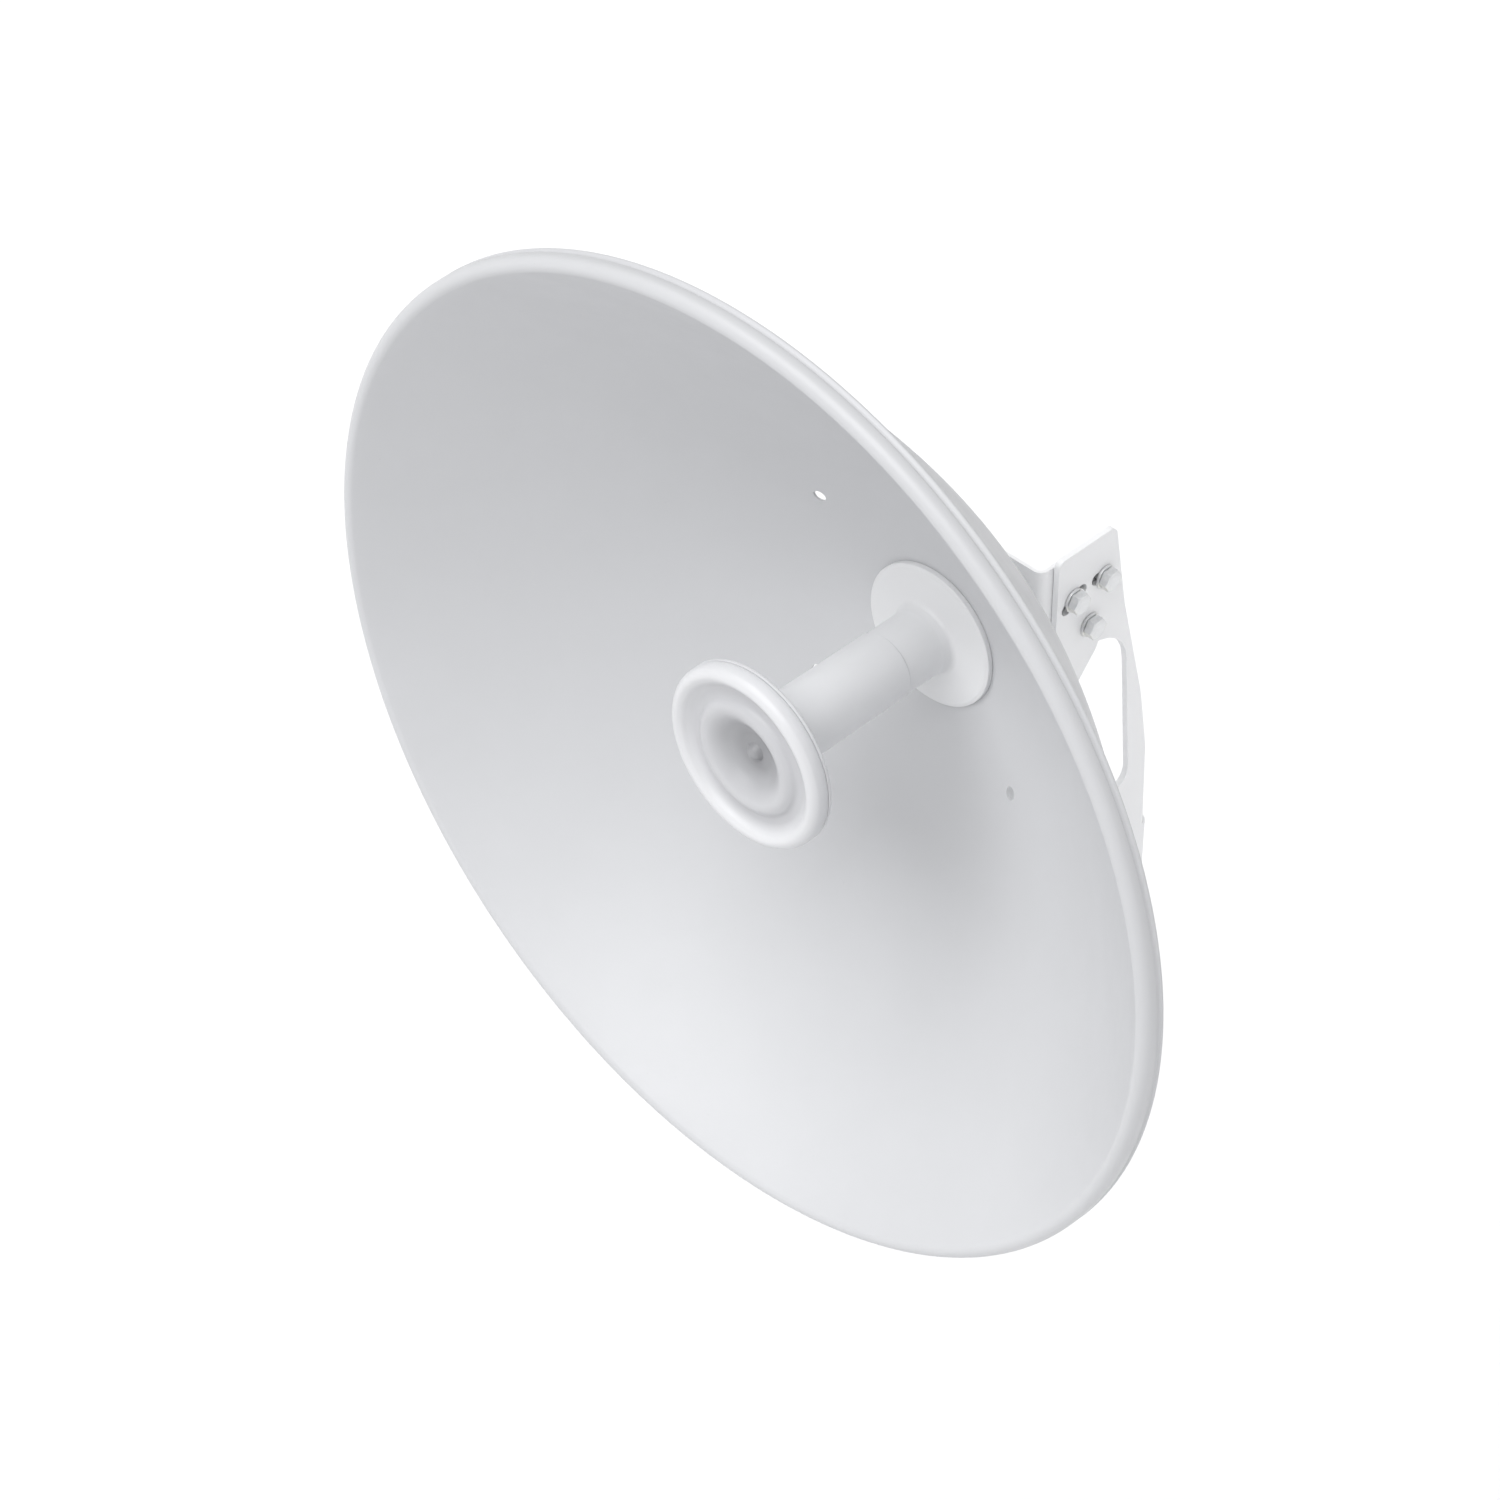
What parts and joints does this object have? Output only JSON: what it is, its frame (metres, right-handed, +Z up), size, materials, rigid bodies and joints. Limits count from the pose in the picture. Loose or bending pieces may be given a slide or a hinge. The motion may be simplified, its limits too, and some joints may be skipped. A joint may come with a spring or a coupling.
{
  "type": "microwave dish antenna",
  "caption": "Deep round reflector with a centre feed on a post, a tilting bracket on a side arm, and a U-bolt clamp for an upright pole.",
  "frame": {"origin": "on the pole's axis, halfway between the two U-bolts of the pole clamp", "axes": "+Z up along the pole; the dish looks along -Y; +X is to the right of someone facing the dish"},
  "size_m": [0.65, 0.3274, 0.65],
  "materials": {
    "reflector_paint": "satin light grey powder coat",
    "bracket_paint": "satin light grey powder coat",
    "feed_plastic": "white moulded plastic, fine grain",
    "feed_insulator": "natural cross-linked plastic",
    "waveguide_metal": "drawn aluminium",
    "cast_metal": "as-cast aluminium",
    "zinc_steel": "bright zinc plated steel",
    "connector_nickel": "nickel plated brass",
    "probe_brass": "turned brass",
    "seal_rubber": "black EPDM rubber"
  },
  "bodies": {
    "mount": {"mount_arm": "bracket_paint", "pole_saddle": "cast_metal", "pivot_bolt": "zinc_steel", "pivot_washer": "zinc_steel", "pivot_nut": "zinc_steel", "clamp_washer_1": "zinc_steel", "clamp_washer_2": "zinc_steel", "clamp_washer_3": "zinc_steel", "clamp_washer_4": "zinc_steel", "clamp_nut_1": "zinc_steel", "clamp_nut_2": "zinc_steel", "clamp_nut_3": "zinc_steel", "clamp_nut_4": "zinc_steel"},
    "dish_head": {"reflector": "reflector_paint", "dish_bracket": "bracket_paint", "feed_base": "feed_plastic", "feed_tube": "feed_plastic", "feed_cup": "feed_plastic", "feed_front_cover": "feed_plastic", "dielectric_cone": "feed_insulator", "waveguide_tube": "waveguide_metal", "waveguide_block": "waveguide_metal", "subreflector_plate": "waveguide_metal", "hub_spacer": "cast_metal", "bracket_bolt_1": "zinc_steel", "bracket_bolt_2": "zinc_steel", "bracket_bolt_3": "zinc_steel", "bracket_bolt_4": "zinc_steel", "bracket_nut_1": "zinc_steel", "bracket_nut_2": "zinc_steel", "bracket_nut_3": "zinc_steel", "bracket_nut_4": "zinc_steel", "feed_screw_1": "zinc_steel", "feed_screw_2": "zinc_steel", "feed_screw_3": "zinc_steel", "feed_screw_4": "zinc_steel", "rear_lock_bolt": "zinc_steel", "rear_lock_washer": "zinc_steel", "rear_lock_nut": "zinc_steel", "front_lock_bolt": "zinc_steel", "front_lock_washer": "zinc_steel", "front_lock_nut": "zinc_steel", "rf_connector_a": "connector_nickel", "rf_connector_b": "connector_nickel", "waveguide_probe_a": "probe_brass", "waveguide_probe_b": "probe_brass", "feed_base_gasket": "seal_rubber", "front_cover_seal": "seal_rubber"},
    "upper_clamp_bolt": {"upper_u_bolt": "zinc_steel"},
    "lower_clamp_bolt": {"lower_u_bolt": "zinc_steel"}
  },
  "joints": [
    {"name": "elevation", "type": "hinge", "parent": "mount", "child": "dish_head", "pos_m": [0, -0.017, 0.226], "axis": [-1, 0, 0], "range_deg": [-12, 12]},
    {"name": "upper_clamp_travel", "type": "slide", "parent": "mount", "child": "upper_clamp_bolt", "axis": [0, 1, 0], "range_m": [0, 0.014]},
    {"name": "lower_clamp_travel", "type": "slide", "parent": "mount", "child": "lower_clamp_bolt", "axis": [0, 1, 0], "range_m": [0, 0.014]}
  ]
}
